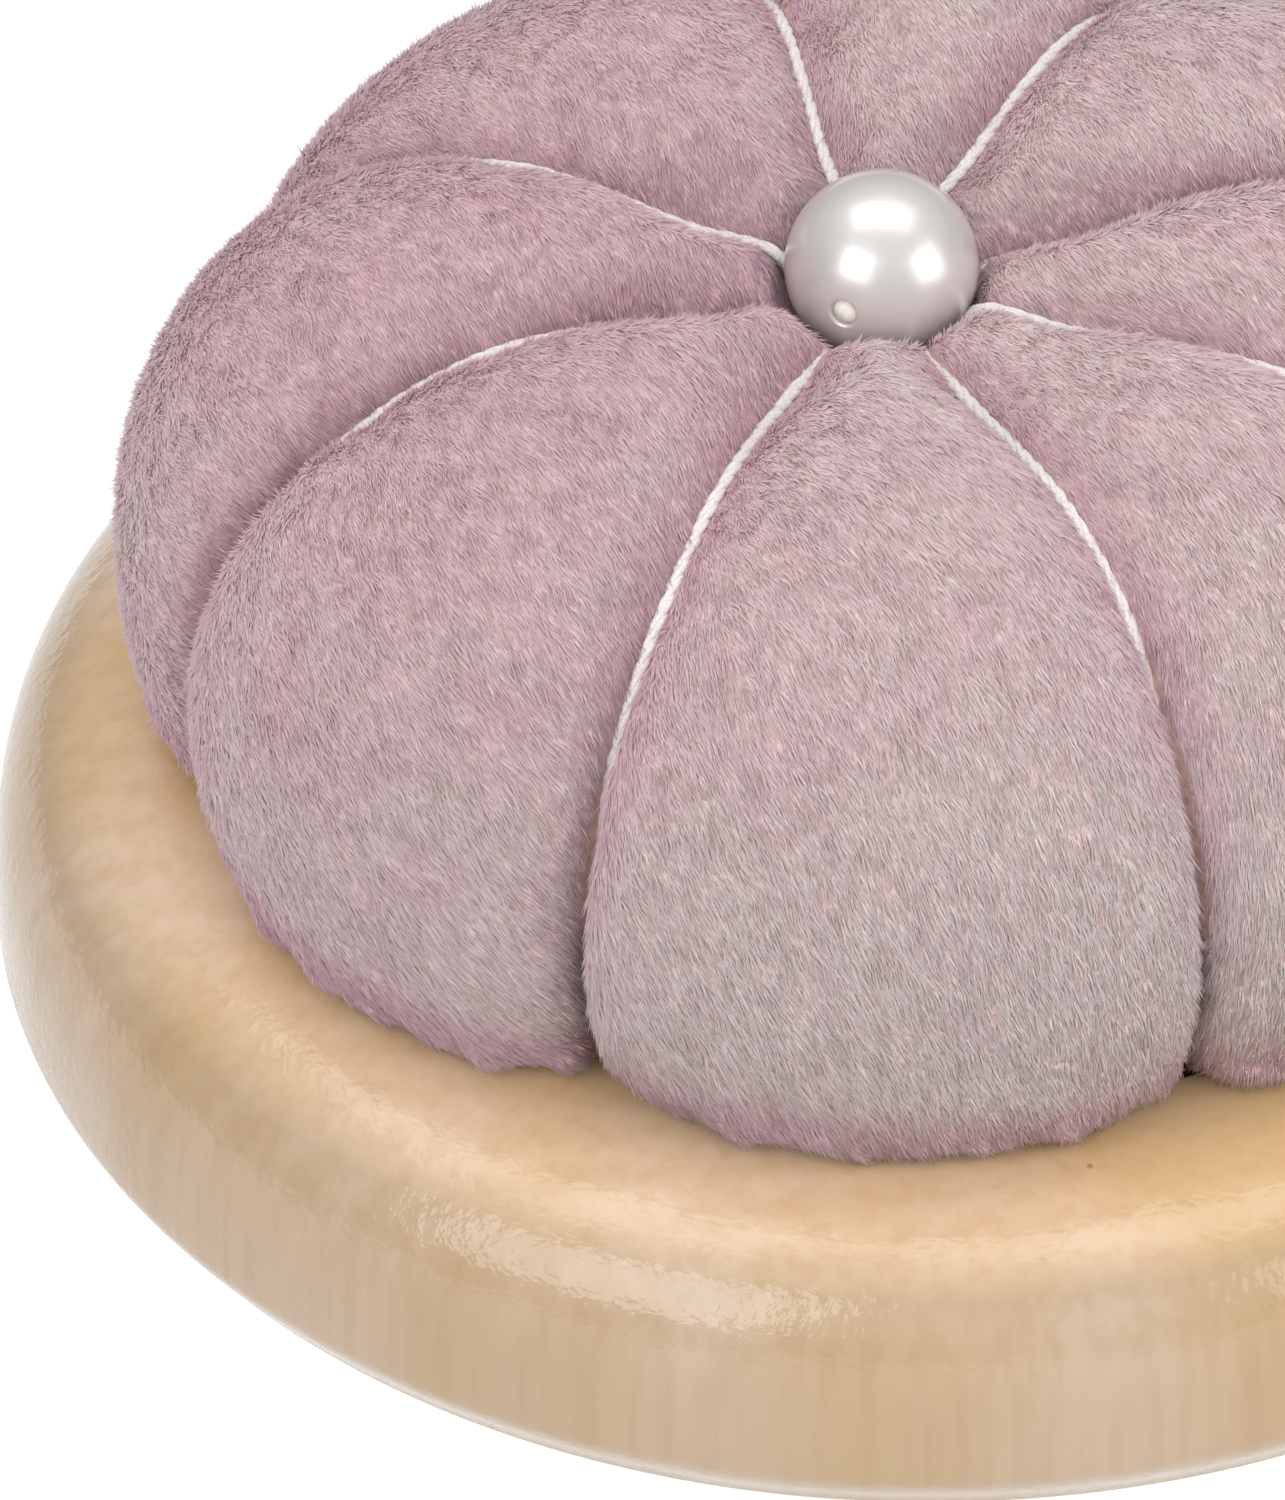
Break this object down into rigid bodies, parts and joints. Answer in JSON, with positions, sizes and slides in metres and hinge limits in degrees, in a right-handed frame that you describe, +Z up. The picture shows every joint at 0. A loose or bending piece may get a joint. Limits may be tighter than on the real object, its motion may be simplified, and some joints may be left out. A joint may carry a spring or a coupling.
{
  "type": "pin cushion",
  "caption": "Round plush pin cushion, drawn into lobes by a wound thread, with a pearl bead on top, in a turned wooden dish.",
  "frame": {"origin": "centre of the dish's underside", "axes": "+Z up along the axis that the dish is turned about; -Y towards the front, where the middle of one lobe faces"},
  "size_m": [0.086, 0.086, 0.042],
  "materials": {
    "wooden_base": "clear satin lacquer over pale turned birch",
    "cushion_cover": "short-pile dusty pink plush",
    "stuffing": "loose polyester fibre",
    "winding_thread": "off-white twisted cotton thread",
    "gathering_stitch": "twisted sewing thread",
    "pearl_bead": "imitation pearl, nacre coat",
    "bead_stitch": "clear nylon thread",
    "glue_bed": "translucent hot-melt glue"
  },
  "bodies": {
    "root": {"wooden_base": "wooden_base", "cushion_cover": "cushion_cover", "stuffing": "stuffing", "winding_thread": "winding_thread", "gathering_stitch": "gathering_stitch", "pearl_bead": "pearl_bead", "bead_stitch": "bead_stitch", "glue_bed": "glue_bed"}
  },
  "joints": []
}
